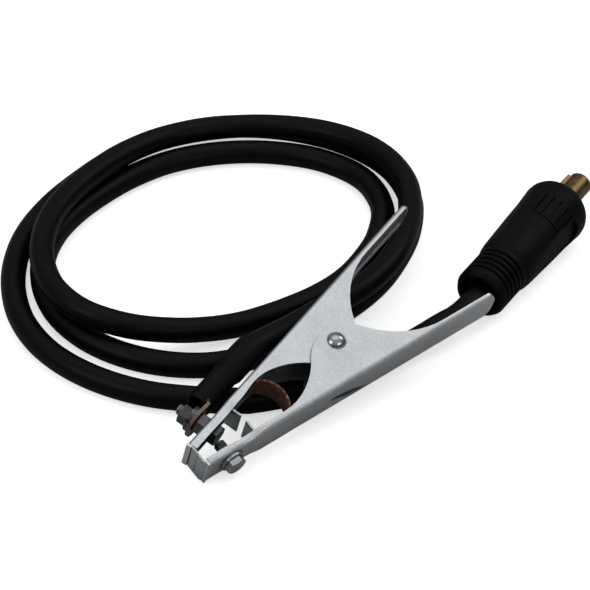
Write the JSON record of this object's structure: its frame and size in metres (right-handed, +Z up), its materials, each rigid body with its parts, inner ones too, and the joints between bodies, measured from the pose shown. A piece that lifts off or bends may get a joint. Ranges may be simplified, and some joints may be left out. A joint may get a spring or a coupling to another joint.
{
  "type": "earth clamp lead",
  "caption": "Sprung steel work clamp on a coiled rubber welding cable that ends in a round brass-pin plug.",
  "frame": {"origin": "on the floor, under the middle of the clamp as it lies on its side", "axes": "+X along the clamp from jaws to handles and towards the plug, +Y towards the coil of cable, +Z up"},
  "size_m": [0.3039, 0.2644, 0.0568],
  "materials": {
    "zinc": "zinc plated pressed steel, satin",
    "bright_steel": "bright domed rivet",
    "spring_steel": "drawn spring wire",
    "contact_plate": "blue-grey plated plate",
    "braid": "dark copper braid, flattened",
    "bolt_steel": "dark plated hardware",
    "tinned_copper": "tinned copper",
    "copper_strands": "bare copper strands",
    "sleeve": "heat-shrink tube",
    "cable_rubber": "matt rubber sheath",
    "plug_rubber": "moulded rubber grip",
    "brass": "turned brass"
  },
  "bodies": {
    "cable_half": {"cable_arm": "zinc", "pivot_rivet": "bright_steel", "torsion_spring": "spring_steel", "cable_jaw_plate": "contact_plate", "copper_braid": "braid", "terminal_bolt": "bolt_steel", "terminal_nut_inner": "bolt_steel", "terminal_washer": "bolt_steel", "terminal_nut_outer": "bolt_steel", "cable_lug": "tinned_copper", "lug_strands": "copper_strands", "heat_shrink_sleeve": "sleeve", "cable_clamp_end": "cable_rubber", "cable_coil": "cable_rubber", "cable_plug_end": "cable_rubber", "plug_body": "plug_rubber", "plug_contact": "brass", "plug_grub_screw": "brass", "plug_ferrule": "tinned_copper", "plug_strands": "copper_strands"},
    "free_half": {"free_arm": "zinc", "free_jaw_plate": "contact_plate", "jaw_bolt": "bolt_steel", "jaw_washer": "bolt_steel"}
  },
  "joints": [
    {"name": "jaw", "type": "hinge", "parent": "cable_half", "child": "free_half", "pos_m": [0.0045, 0, 0.025], "axis": [-0.1356, -0.3714, 0.9185], "range_deg": [0, 28], "stiffness_Nm_per_rad": 2, "springref_deg": -28.65, "deforming": ["torsion_spring", "copper_braid"]}
  ]
}
